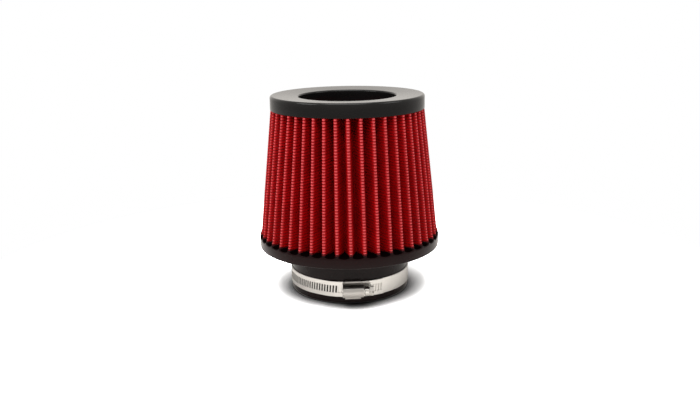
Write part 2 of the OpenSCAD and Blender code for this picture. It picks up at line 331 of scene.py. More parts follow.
class Shades:
    """Builds one node material, step by step."""

    def __init__(self, name):
        self.material = bpy.data.materials.new(name)
        self.material.use_nodes = True
        self.nodes = self.material.node_tree.nodes
        self.links = self.material.node_tree.links
        self.shader = self.nodes["Principled BSDF"]
        self.place = self.nodes.new("ShaderNodeTexCoord").outputs["Object"]

    def finished(self, metal=0.0, spec=0.5):
        """The material, with the values that are the same all over the surface."""
        self.shader.inputs["Metallic"].default_value = metal
        self.shader.inputs["Specular IOR Level"].default_value = spec
        return self.material

    def link(self, a, b):
        """Joins two sockets."""
        self.links.new(a, b)

    def noise(self, scale, detail, rough=0.55, stretch=None):
        """Noise in the piece's own space, stretched along its axes if wanted."""
        texture = self.nodes.new("ShaderNodeTexNoise")
        texture.inputs["Scale"].default_value = scale
        texture.inputs["Detail"].default_value = detail
        texture.inputs["Roughness"].default_value = rough
        self.link(self.stretched(stretch), texture.inputs["Vector"])
        return texture.outputs["Fac"]

    def stretched(self, stretch):
        """The place on the piece, scaled along its axes."""
        if stretch is None:
            return self.place
        mapping = self.nodes.new("ShaderNodeMapping")
        mapping.inputs["Scale"].default_value = stretch
        self.link(self.place, mapping.inputs["Vector"])
        return mapping.outputs["Vector"]

    def ramp(self, value, low, high):
        """A colour between two, following a noise value."""
        ramp = self.nodes.new("ShaderNodeValToRGB")
        ramp.color_ramp.elements[0].position = 0.3
        ramp.color_ramp.elements[1].position = 0.7
        ramp.color_ramp.elements[0].color = (*low, 1)
        ramp.color_ramp.elements[1].color = (*high, 1)
        self.link(value, ramp.inputs["Fac"])
        return ramp.outputs["Color"]

    def between(self, value, low, high, from_low=0.0, from_high=1.0, beyond=False):
        """A value carried from one range to another, held at its ends unless beyond is set."""
        span = self.nodes.new("ShaderNodeMapRange")
        span.clamp = not beyond
        span.inputs["From Min"].default_value = from_low
        span.inputs["From Max"].default_value = from_high
        span.inputs["To Min"].default_value = low
        span.inputs["To Max"].default_value = high
        self.link(value, span.inputs["Value"])
        return span.outputs["Result"]

    def maths(self, operation, a, b=None):
        """A sum, product or other operation, where a and b are sockets or plain numbers."""
        node = self.nodes.new("ShaderNodeMath")
        node.operation = operation
        for value, socket in ((a, node.inputs[0]), (b, node.inputs[1])):
            if isinstance(value, (int, float)):
                socket.default_value = value
            elif value is not None:
                self.link(value, socket)
        return node.outputs[0]

    def height_and_radius(self):
        """Height above the foot, and distance from the filter's axis."""
        split = self.nodes.new("ShaderNodeSeparateXYZ")
        self.link(self.place, split.inputs[0])
        x, y, z = split.outputs
        squares = self.maths("ADD", self.maths("MULTIPLY", x, x), self.maths("MULTIPLY", y, y))
        return z, self.maths("SQRT", squares)

    def blend(self, share, low, high):
        """One colour turning into another, where each is a socket or a plain colour."""
        mix = self.nodes.new("ShaderNodeMix")
        mix.data_type = "RGBA"
        self.link(share, mix.inputs[0])
        for value, socket in ((low, mix.inputs[6]), (high, mix.inputs[7])):
            if isinstance(value, tuple):
                socket.default_value = (*value, 1)
            else:
                self.link(value, socket)
        return mix.outputs[2]

    def colour(self, socket):
        """The shader's colour, which replaces one that it has already."""
        self.link(socket, self.shader.inputs["Base Color"])

    def roughness(self, value, low, high):
        """Roughness that follows a value of 0 to 1 from low to high."""
        self.link(self.between(value, low, high), self.shader.inputs["Roughness"])

    def bump(self, value, strength, distance):
        """Fine relief on top of any that the shader has already."""
        node = self.nodes.new("ShaderNodeBump")
        node.inputs["Strength"].default_value = strength
        node.inputs["Distance"].default_value = distance
        self.link(value, node.inputs["Height"])
        if self.shader.inputs["Normal"].is_linked:
            before = self.shader.inputs["Normal"].links[0].from_socket
            self.link(before, node.inputs["Normal"])
        self.link(node.outputs["Normal"], self.shader.inputs["Normal"])


def tinted(colour, share):
    """A colour made darker or lighter."""
    return tuple(c * share for c in colour)


def gauze_material(name, s, cell, tips, depth, flare=(0.0, 1.0), potted=None):
    """Oiled cotton gauze: deep red, with painted highlights along the tips and painted shade
    under each hoop wire. cell = height from one hoop to the next, tips = (z, radius) of the
    tips at the lower and upper end, flare = how far their feet lean out and over what height,
    potted = heights at the tips and at the roots up to which urethane has wetted the gauze."""
    colour = tuple(s.gauze)
    m = Shades(name)
    z, radius = m.height_and_radius()
    (low_z, low_r), (high_z, high_r) = tips
    lean = m.between(z, flare[0], 0.0, low_z - flare[1], low_z)
    tip_r = m.maths("ADD", m.between(z, low_r, high_r, low_z, high_z, beyond=True), lean)
    proud = m.maths("SUBTRACT", radius, tip_r)
    # Painted highlight: towards the tips the gauze turns to the paler crest colour
    on_tip = m.between(proud, 0.0, 1.0, -depth * 0.11, 0.0)
    patches = m.noise(55, 5)
    deep = m.ramp(patches, tinted(colour, 0.75), tinted(colour, 1.1))
    lit_tips = m.ramp(patches, tinted(s.crest_highlight, 0.85), tinted(s.crest_highlight, 1.1))
    cloth = m.blend(on_tip, deep, lit_tips)
    # Painted shade: the gauze is darkened in a band along each hoop wire
    cells = m.maths("MULTIPLY", m.maths("SUBTRACT", z, low_z), math.pi / cell)
    between_wires = m.maths("ABSOLUTE", m.maths("SINE", cells))
    wire_shade = m.between(between_wires, 1.0, 0.0, 0.1, 0.75)
    shaded_at_wires = m.blend(wire_shade, cloth, tinted(colour, 0.45))
    # Painted highlight: the glint colour on the middle of each bulge at the very tips
    bead = m.between(between_wires, 0.0, 1.0, 0.65, 1.0)
    edge = m.between(proud, 0.0, 1.0, -0.3 * MM, 0.15 * MM)
    cloth = m.blend(m.maths("MULTIPLY", bead, edge), shaded_at_wires, tuple(s.glint))
    # Wetted gauze: painted shade in the folds, a painted highlight on the foremost tips
    if potted:
        level = m.between(proud, potted[1], potted[0], -depth, 0.0)
        height = m.maths("SUBTRACT", z, level)
        wet = m.between(height, 1.0, 0.0, -0.5 * MM, 0.5 * MM)
        foremost = m.between(proud, 0.0, 1.0, -0.8 * MM, -0.2 * MM)
        cloth = m.blend(wet, cloth, m.blend(foremost, WETTED_FOLD_SHADE, WETTED_TIP_HIGHLIGHT))
    m.colour(cloth)
    m.roughness(m.noise(900, 3), 0.5, 0.72)
    m.bump(m.noise(2600, 2, stretch=(1, 1, 0.6)), 0.3, 0.00012)
    m.bump(m.noise(420, 3), 0.2, 0.0002)
    return m.finished(spec=0.07)


def wire_material(name, colour):
    """Screen wire with a thin red coating."""
    m = Shades(name)
    m.colour(m.ramp(m.noise(700, 3), tinted(colour, 0.8), tinted(colour, 1.15)))
    m.roughness(m.noise(1500, 2), 0.3, 0.5)
    return m.finished(spec=0.15)


def urethane_shades(name, colour, rough_low, rough_high):
    """Moulded urethane: near black, with faint flow marks and a fine mould texture."""
    m = Shades(name)
    flow = m.noise(38, 6, stretch=(1, 1, 2.4))
    m.colour(m.ramp(flow, tinted(colour, 0.8), tinted(colour, 1.2)))
    m.roughness(m.noise(240, 5), rough_low, rough_high)
    m.bump(m.noise(1900, 2), 0.1, 0.00004)
    m.bump(m.noise(60, 3), 0.08, 0.0003)
    return m


def urethane_material(name, colour, rough_low, rough_high, spec):
    """Plain moulded urethane."""
    return urethane_shades(name, colour, rough_low, rough_high).finished(spec=spec)


def gauze_reflecting_urethane_material(name, colour, gauze_reflection, rim_low):
    """The base's urethane, with a painted reddish reflection of the gauze above the rim's
    underside.
    """
    m = urethane_shades(name, colour, 0.12, 0.22)
    z, _ = m.height_and_radius()
    up_the_rim = m.between(z, 0.0, 1.0, rim_low - 2 * MM, rim_low + 4 * MM)
    streaks = m.between(m.noise(30, 5), 0.55, 1.2)
    bare_urethane = m.shader.inputs["Base Color"].links[0].from_socket
    m.colour(m.blend(m.maths("MULTIPLY", up_the_rim, streaks), bare_urethane, gauze_reflection))
    return m.finished(spec=0.11)


def shaded_pocket_material(name, colour):
    """Near-black urethane without gloss between the pleats' feet: painted shade."""
    return urethane_shades(name, colour, 0.7, 0.9).finished(spec=0.0)


def strip_material(name, colour):
    """Satin stainless strip with its grain along the strip's length."""
    m = Shades(name)
    grain = m.noise(60, 6, 0.7, stretch=(1, 1, 70))
    m.colour(m.ramp(grain, tinted(colour, 0.9), tinted(colour, 1.06)))
    m.roughness(grain, 0.24, 0.4)
    m.bump(grain, 0.1, 0.00003)
    return m.finished(metal=1.0)


def pressed_steel_material(name, colour):
    """Pressed stainless sheet: smooth, with faint drawing lines along the screw."""
    m = Shades(name)
    marks = m.noise(40, 5, 0.6, stretch=(1, 14, 14))
    m.colour(m.ramp(marks, tinted(colour, 0.93), tinted(colour, 1.04)))
    m.roughness(m.noise(300, 3), 0.26, 0.36)
    m.bump(marks, 0.05, 0.00002)
    return m.finished(metal=1.0)


def machined_steel_material(name, colour):
    """Turned screw steel with fine rings round its own axis."""
    m = Shades(name)
    rings = m.noise(50, 5, 0.7, stretch=(60, 1, 1))
    m.colour(m.ramp(rings, tinted(colour, 0.88), tinted(colour, 1.05)))
    m.roughness(rings, 0.14, 0.28)
    m.bump(rings, 0.06, 0.00002)
    return m.finished(metal=1.0)


# Settings that a user would change

def a_length(name, description, default):
    """A length setting, in metres."""
    return FloatProperty(name=name, description=description, default=default, unit="LENGTH")


def an_angle(name, description, default):
    """An angle setting, in radians."""
    return FloatProperty(name=name, description=description, default=default, subtype="ANGLE")


def a_colour(name, description, default):
    """A colour setting."""
    return FloatVectorProperty(name=name, description=description, default=default, size=3,
                               subtype="COLOR")


class PleatSettings(bpy.types.PropertyGroup):
    count: IntProperty(name="Pleats", description="Number of outer pleats", default=44)
    phase: an_angle("Phase", "Angle of the first pleat", math.radians(-1.5))
    depth: a_length("Depth", "Depth of an outer pleat", 14 * MM)
    sheet: a_length("Sheet", "Thickness of the folded sheet", 1.5 * MM)
    tip_round: a_length("Tip", "Rounding of a pleat's tip", 1.15 * MM)
    root_round: a_length("Root", "Rounding of a pleat's root", 0.55 * MM)
    rim_land: a_length("Rim land", "Step from the rim in to the pleats", 1.7 * MM)
    cap_land: a_length("Cap land", "Step from the cap in to the pleats", 0.4 * MM)
    flare: a_length("Flare", "How far the tips' lower ends lean out", 0.75 * MM)
    flare_h: a_length("Flare height", "Height over which they lean out", 3.4 * MM)
    potted_tip: a_length("Wetted tips",
                         "How far below the rim's highest edge the urethane ends on the tips",
                         1.2 * MM)
    potted_root: a_length("Wetted roots",
                          "How far below the rim's highest edge the urethane ends at the roots",
                          3.8 * MM)
    wander: an_angle("Wander", "Sideways wander of the folds under the cap", math.radians(1.5))
    mesh_pitch: a_length("Mesh pitch", "Distance between screen wires", 2.3 * MM)
    wire_r: a_length("Wire", "Radius of a screen wire", 0.16 * MM)
    puff: a_length("Puff", "How far the gauze bulges between wires", 0.34 * MM)
    inner_count: IntProperty(name="Inner pleats", description="Pleats of the inner cone",
                             default=28)
    inner_depth: a_length("Inner depth", "Depth of an inner pleat", 7.5 * MM)
    inner_tip_round: a_length("Inner tip", "Rounding of an inner tip", 1.75 * MM)
    inner_root_round: a_length("Inner root", "Rounding of an inner root", 0.3 * MM)
    inner_tip_top: a_length("Inner top", "Inner cone's radius, upper end", 47.35 * MM)
    inner_tip_low: a_length("Inner low", "Inner cone's radius, lower end", 28 * MM)
    gauze: a_colour("Gauze", "Colour of the oiled gauze", (0.42, 0.001, 0.002))
    # Crest and glint colours are painted highlights on the tips and on their bulges
    crest_highlight: a_colour("Crest", "Colour of the gauze on the tips", (0.66, 0.03, 0.034))
    glint: a_colour("Glint", "Colour of the bulges on the tips", (0.74, 0.115, 0.12))
    wire: a_colour("Wire", "Colour of the coated wires", (0.3, 0.004, 0.006))


class MouldingSettings(bpy.types.PropertyGroup):
    base: a_colour("Base", "Colour of the base's urethane", (0.011, 0.0055, 0.0055))
    # A painted reddish reflection of the gauze on the rim
    gauze_reflection: a_colour("Stain", "Colour of the oil-stained rim", (0.0105, 0.0012, 0.0016))
    # Painted shade in the pockets between the pleats' feet
    pocket_shade: a_colour("Pocket", "Colour between the pleats' feet", (0.0022, 0.0008, 0.0008))
    bore_r: a_length("Bore", "Radius of the inlet's bore", 44.45 * MM)
    neck_r: a_length("Neck", "Radius of the inlet neck", 49.7 * MM)
    neck_h: a_length("Neck height", "Height of the rim's underside", 38.1 * MM)
    rim_edge: a_length("Rim edge", "Height of the rim's upper edge", 48.3 * MM)
    pocket_depth: a_length("Pockets", "Depth of the hollows in that edge", 1.9 * MM)
    cap_round: a_length("Cap edge", "Rounding of the cap's outer edge", 1.8 * MM)
    dish: a_length("Dish", "How far the cap's top falls to its opening", 1.1 * MM)
    opening_r: a_length("Opening", "Radius of the cap's opening", 40.3 * MM)
    opening_round: a_length("Opening edge", "Rounding of that opening", 1.3 * MM)
    throat_r: a_length("Throat", "Radius of the lip under the opening", 38 * MM)
    cap: a_colour("Cap", "Colour of the cap's urethane", (0.006, 0.0055, 0.0055))


class ClampSettings(bpy.types.PropertyGroup):
    steel: a_colour("Strip", "Colour of the stainless strip", (0.57, 0.56, 0.54))
    pressing: a_colour("Pressing", "Colour of the pressed housing", (0.39, 0.38, 0.365))
    screw: a_colour("Screw", "Colour of the screw's steel", (0.55, 0.54, 0.52))
    sheet: a_length("Sheet", "Thickness of the housing's sheet", 0.85 * MM)
    flap_l: a_length("Flaps", "Length of the flaps round the band", 12.8 * MM)
    lower_flap: a_length("Lower flap", "How much further the lower flap reaches", 0.9 * MM)
    flare: a_length("Flare", "How far the housing's open end flares", 0.35 * MM)
    worm_r: a_length("Worm", "Outer radius of the worm", 4 * MM)
    thread_depth: a_length("Thread depth", "Depth of the worm's thread", 0.8 * MM)
    thread_pitch: a_length("Thread pitch", "Advance of the worm per turn", 2.52 * MM)
    journal_r: a_length("Journal", "Radius of the screw's journals", 2.3 * MM)
    collar_r: a_length("Collar", "Radius of the screw's collar", 3.9 * MM)
    collar_l: a_length("Collar length", "Length of the screw's collar", 3.5 * MM)
    hex_flats: a_length("Hexagon", "Hexagon across its flats", 7.2 * MM)
    hex_l: a_length("Hexagon length", "Length of the hexagon", 3.5 * MM)
    driver_w: a_length("Driver slot", "Width of the driver slot", 1.2 * MM)
    driver_d: a_length("Slot depth", "Depth of the driver slot", 1.8 * MM)


class StageSettings(bpy.types.PropertyGroup):
    camera_azimuth: an_angle("Azimuth", "Camera's angle from -Y", math.radians(-2.6))
    camera_distance: a_length("Distance", "Camera's distance from the axis", 0.6685)
    camera_height: a_length("Height", "Camera's height above the foot", 0.2408)
    camera_pitch: an_angle("Pitch", "How far the camera looks down", math.radians(13.956))
    camera_roll: an_angle("Roll", "Camera's roll about its own view", math.radians(-0.87))
    lens: FloatProperty(name="Lens", description="Focal length", default=41.57, unit="CAMERA")
    shift: FloatProperty(name="Shift", description="Sideways shift of the frame", default=0.0018)
    ambient: FloatProperty(name="Ambient", description="Strength of the surrounding light",
                           default=0.12)
    floor_seen: FloatProperty(name="Floor seen", description="Colour of the floor as the camera "
                              "sees it, past white so that only shadow shows", default=4.6)
    shadow_reach: a_length("Shadow reach", "How far the shadow at the foot spreads", 0.022)
    shadow_depth: FloatProperty(name="Shadow depth", description="How dark the shadow at the "
                                "foot is", default=3.8)
    floor_mirrored: FloatProperty(name="Floor mirrored", description="Colour of the floor as "
                                  "gloss and glass see it", default=1.5)
    far_mirrored: FloatProperty(name="Far floor mirrored", description="Brightness of the floor "
                                "further out as gloss and glass see it", default=0.72)
    floor_fade: FloatVectorProperty(name="Floor fade", description="Distances from the axis over "
                                    "which the floor turns plain white", default=(0.12, 0.35),
                                    size=2, unit="LENGTH")
    overhead: FloatProperty(name="Overhead", description="Power of the lamp overhead",
                            default=12.0, unit="POWER")
    left: FloatProperty(name="Left", description="Power of the lamp on the left", default=6.0,
                        unit="POWER")
    right: FloatProperty(name="Right", description="Power of the lamp on the right", default=3.5,
                         unit="POWER")


def settings():
    """The settings kept with the scene."""
    return bpy.context.scene.filter_settings


class FilterSettings(bpy.types.PropertyGroup):
    pleats: PointerProperty(type=PleatSettings)
    mouldings: PointerProperty(type=MouldingSettings)
    clamp: PointerProperty(type=ClampSettings)
    stage: PointerProperty(type=StageSettings)


def outer_folds():
    """The outer pleats' form, from the solids and the settings."""
    s = settings().pleats
    return Folds(s.count, s.phase, RIM_TOP, CAP_Z, RIM_R - s.rim_land, CAP_R - s.cap_land,
                 s.depth, s.tip_round, s.root_round,
                 wander=(s.wander * WANDER_AT_BASE, s.wander), flare=(s.flare, s.flare_h))


def ring_at(folds, z, out, steps):
    """Points in space round the folds at height z, out from the sheet's outer face."""
    return [Vector((p.x, p.y, z)) for p in folds.line(z, out, *steps)]


def plain_rings(folds, low_z, high_z, out, steps):
    """Rings of points up a plain face of the sheet."""
    return [ring_at(folds, low_z + (high_z - low_z) * k / PLAIN_ROWS, out, steps)
            for k in range(PLAIN_ROWS + 1)]


def bulging_rings(folds, low_z, cell, cells, out, puff, steps):
    """Rings of points up a face that bulges by puff in each cell between two hoops. cells are
    the first and the last hoop, counted from low_z."""
    rings = []
    for k in range(cells[0] * ROWS_PER_CELL, cells[1] * ROWS_PER_CELL + 1):
        bulge = puff * abs(math.sin(math.pi * k / ROWS_PER_CELL)) ** BULGE_SHAPE
        rings.append(ring_at(folds, low_z + cell * k / ROWS_PER_CELL, out + bulge, steps))
    return rings


# Operators

class FILTER_OT_outer_pleats(bpy.types.Operator):
    """Build the outer pleats with gauze that bulges between the screen's wires"""
    bl_idname = "filter.outer_pleats"
    bl_label = "Outer pleats"

    def execute(self, context):
        s = settings().pleats
        folds = outer_folds()
        cells = round((CAP_Z - RIM_TOP) / s.mesh_pitch)
        cell = (CAP_Z - RIM_TOP) / cells
        outer = bulging_rings(folds, RIM_TOP, cell, (-SUNK_CELLS, cells), 0, s.puff, FOLD_STEPS)
        inner = plain_rings(folds, RIM_TOP - SUNK_CELLS * cell, CAP_Z, -s.sheet, FOLD_STEPS)
        piece = sheet_mesh("pleated_gauze", outer, inner)
        tips = (RIM_TOP, folds.low_tip), (CAP_Z, folds.high_tip)
        gauze = gauze_material("red_oiled_gauze", s, cell, tips, s.depth,
                               flare=(s.flare, s.flare_h),
                               potted=(RIM_TOP - s.potted_tip, RIM_TOP - s.potted_root))
        seat(piece, gauze, stands_for=["outer_pleats"])
        return {"FINISHED"}


class FILTER_OT_outer_screen(bpy.types.Operator):
    """Lay the wire screen over the outer pleats, wires round them and wires up them"""
    bl_idname = "filter.outer_screen"
    bl_label = "Outer wire screen"

    # Levels at which an upright wire bends, how far down the sunk cells it starts, and the gap
    # between its upper end and the cap
    LEVELS = 6
    SUNK_SHARE = 0.9
    TOP_GAP = 0.2 * MM

    # Height of an upright wire's middle above the sheet, in wire radii
    UPRIGHT_LIFT = 0.6

    def execute(self, context):
        s = settings().pleats
        folds = outer_folds()
        height = CAP_Z - RIM_TOP
        cells = round(height / s.mesh_pitch)
        coat = wire_material("coated_screen_wire", s.wire)
        hoops = []
        for k in range(1 - SUNK_CELLS, cells):
            z = RIM_TOP + height * k / cells
            face = ring_at(folds, z, 0, FOLD_STEPS)
            over = ring_at(folds, z, s.wire_r, FOLD_STEPS)
            hoops.append([(b, (b - a).normalized()) for a, b in zip(face, over)])
        piece = wire_tubes("screen_hoop_wires", hoops, s.wire_r, closed=True)
        seat(piece, coat)
        piece = wire_tubes("screen_upright_wires", self.uprights(folds, s), s.wire_r,
                           closed=False)
        seat(piece, coat)
        return {"FINISHED"}

    def uprights(self, folds, s):
        """Paths of the wires that run up the pleats, evenly spread along the sheet."""
        low = RIM_TOP - SUNK_CELLS * s.mesh_pitch * self.SUNK_SHARE
        rise = CAP_Z - self.TOP_GAP - RIM_TOP
        rings, lifts = [], []
        for z in [low] + [RIM_TOP + rise * k / self.LEVELS for k in range(self.LEVELS + 1)]:
            rings.append(ring_at(folds, z, s.wire_r * self.UPRIGHT_LIFT, UPRIGHT_STEPS))
            lifts.append(ring_at(folds, z, s.wire_r * 2, UPRIGHT_STEPS))
        n = len(rings[0])
        middle = rings[self.LEVELS // 2]
        lengths = [0.0]
        for i in range(n):
            lengths.append(lengths[-1] + (middle[(i + 1) % n] - middle[i]).length)
        wires = int(lengths[-1] / s.mesh_pitch)
        paths, i = [], 0
        for w in range(wires):
            at = lengths[-1] * w / wires
            while lengths[i + 1] < at:
                i += 1
            t = (at - lengths[i]) / (lengths[i + 1] - lengths[i])
            j = (i + 1) % n
            path = []
            for ring, lift in zip(rings, lifts):
                p = ring[i].lerp(ring[j], t)
                q = lift[i].lerp(lift[j], t)
                path.append((p, (q - p).normalized()))
            paths.append(path)
        return paths


class FILTER_OT_inner_cone(bpy.types.Operator):
    """Build the inverted cone of pleats below the cap's opening"""
    bl_idname = "filter.inner_cone"
    bl_label = "Inner cone"

    def execute(self, context):
        s = settings().pleats
        folds = Folds(s.inner_count, 0, INNER_LOW_Z, CAP_Z, s.inner_tip_low, s.inner_tip_top,
                      s.inner_depth, s.inner_tip_round, s.inner_root_round)
        cells = round((CAP_Z - INNER_LOW_Z) / s.mesh_pitch)
        cell = (CAP_Z - INNER_LOW_Z) / cells
        outer = plain_rings(folds, INNER_LOW_Z, CAP_Z, 0, INNER_FOLD_STEPS)
        inner = bulging_rings(folds, INNER_LOW_Z, cell, (0, cells), -s.sheet, -s.puff,
                              INNER_FOLD_STEPS)
        piece = sheet_mesh("inverted_cone_gauze", outer, inner)
        tips = (INNER_LOW_Z, s.inner_tip_low), (CAP_Z, s.inner_tip_top)
        gauze = gauze_material("red_oiled_gauze_inside", s, cell, tips, s.inner_depth)
        seat(piece, gauze, stands_for=["inner_cone"])
        return {"FINISHED"}


class FILTER_OT_base(bpy.types.Operator):
    """Mould the base: neck, rim and the shallow pockets between the pleats' feet"""
    bl_idname = "filter.base"
    bl_label = "Urethane base"

    # Sections from one pleat to the next, and the shape of the hollow between them: 2 is a
    # parabola, more is fuller
    STEPS = 16
    HOLLOW_SHAPE = 2.6

    # How far in from the rim's face the pockets with painted shade begin
    POCKET_EDGE = 0.2 * MM

    def execute(self, context):
        s = settings().mouldings
        folds = outer_folds()
        sections = []
        for i in range(folds.count):
            a, b = folds.direction(i, RIM_TOP), folds.direction(i + 1, RIM_TOP)
            for k in range(self.STEPS):
                share = k / self.STEPS
                hollow = (1 - abs(2 * share - 1) ** self.HOLLOW_SHAPE) * s.pocket_depth
                sections.append((a + (b - a) * share, self.profile(s, s.rim_edge - hollow)))
        piece = lathe("moulded_base", sections)
        material = gauze_reflecting_urethane_material("base_urethane_black", tuple(s.base),
                                                 tuple(s.gauze_reflection), s.neck_h)
        seat(piece, material, stands_for=["base_flange"])
        mark_sharp(piece, 40)
        # The pockets take the near-black material: painted shade between the pleats' feet
        piece.data.materials.append(shaded_pocket_material("pocket_painted_shade", tuple(s.pocket_shade)))
        pocket_low = s.rim_edge - s.pocket_depth - self.POCKET_EDGE
        for face in piece.data.polygons:
            centre = face.center
            if centre.z > pocket_low and centre.xy.length < RIM_R - self.POCKET_EDGE:
                face.material_index = 1
        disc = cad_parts["inner_cap"].data
        disc.materials.clear()
        disc.materials.append(urethane_material("disc_urethane_black", tuple(s.base),
                                                0.2, 0.32, 0.14))
        return {"FINISHED"}

    def profile(self, s, edge_z):
        """The base's section where the rim's edge stands at edge_z: from the bore's foot out
        and up the neck, out under the rim, over its edge and in below the pleats."""
        bore, neck, rim = s.bore_r, s.neck_r, RIM_R
        chamfer, foot, corner, edge = 1 * MM, 2 * MM, 3 * MM, 0.8 * MM
        lip, slope, pack, step = 0.5 * MM, 5.5 * MM, 13 * MM, 17.9 * MM
        face_top = s.rim_edge - s.pocket_depth - 1.2 * MM
        under_pleats = s.rim_edge - 0.2 * MM
        points = [(bore, chamfer), (bore + chamfer, 0)]
        points += arc(neck - foot, foot, foot, -90, 0)
        points += arc(neck + corner, s.neck_h - corner, corner, 180, 90)
        points += arc(rim - edge, s.neck_h + edge, edge, -90, 0)
        points += [(rim, face_top), (rim, edge_z - lip), (rim - lip * 0.3, edge_z - lip * 0.3),
                   (rim - lip, edge_z), (rim - slope, (edge_z + under_pleats) / 2),
                   (rim - pack, under_pleats), (rim - step, under_pleats),
                   (rim - step - lip, RIM_TOP), (bore + chamfer, RIM_TOP),
                   (bore, RIM_TOP - chamfer)]
        return points


class FILTER_OT_cap(bpy.types.Operator):
    """Mould the cap: a ring whose top falls slightly towards its round opening"""
    bl_idname = "filter.cap"
    bl_label = "Cap"

    def execute(self, context):
        s = settings().mouldings
        edge, lip = s.cap_round, s.opening_round
        wall_r, throat_r = s.opening_r, s.throat_r
        inner_z = CAP_TOP - s.dish - lip
        foot, face_low = 0.4 * MM, 4 * MM
        throat_z, wall_z = CAP_Z + 0.4 * MM, CAP_Z + 0.9 * MM
        steps = 192
        profile = [(CAP_R - foot, CAP_Z), (CAP_R - foot * 0.3, CAP_Z + foot * 0.3),
                   (CAP_R, CAP_Z + foot), (CAP_R, CAP_Z + face_low)]
        profile += arc(CAP_R - edge, CAP_TOP - edge, edge, 0, 90)
        for t in (0.02, 0.3, 0.6, 0.98):
            profile.append(((CAP_R - edge) * (1 - t) + (wall_r + lip) * t,
                            CAP_TOP - s.dish * t))
        profile += arc(wall_r + lip, inner_z, lip, 90, 180, 8)
        profile += [(wall_r, wall_z), (throat_r, throat_z), (throat_r, CAP_Z)]
        piece = lathe("moulded_cap", [(math.tau * k / steps, profile) for k in range(steps)])
        seat(piece, urethane_material("cap_urethane_black", tuple(s.cap), 0.1, 0.18, 0.2),
             stands_for=["top_cap"])
        mark_sharp(piece, 40)
        return {"FINISHED"}


class FILTER_OT_clamp_band(bpy.types.Operator):
    """Give the clamp's slotted strip its finish"""
    bl_idname = "filter.clamp_band"
    bl_label = "Clamp band"

    def execute(self, context):
        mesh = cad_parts["clamp_band"].data
        mesh.materials.clear()
        mesh.materials.append(strip_material("satin_stainless_strip",
                                             tuple(settings().clamp.steel)))
        return {"FINISHED"}


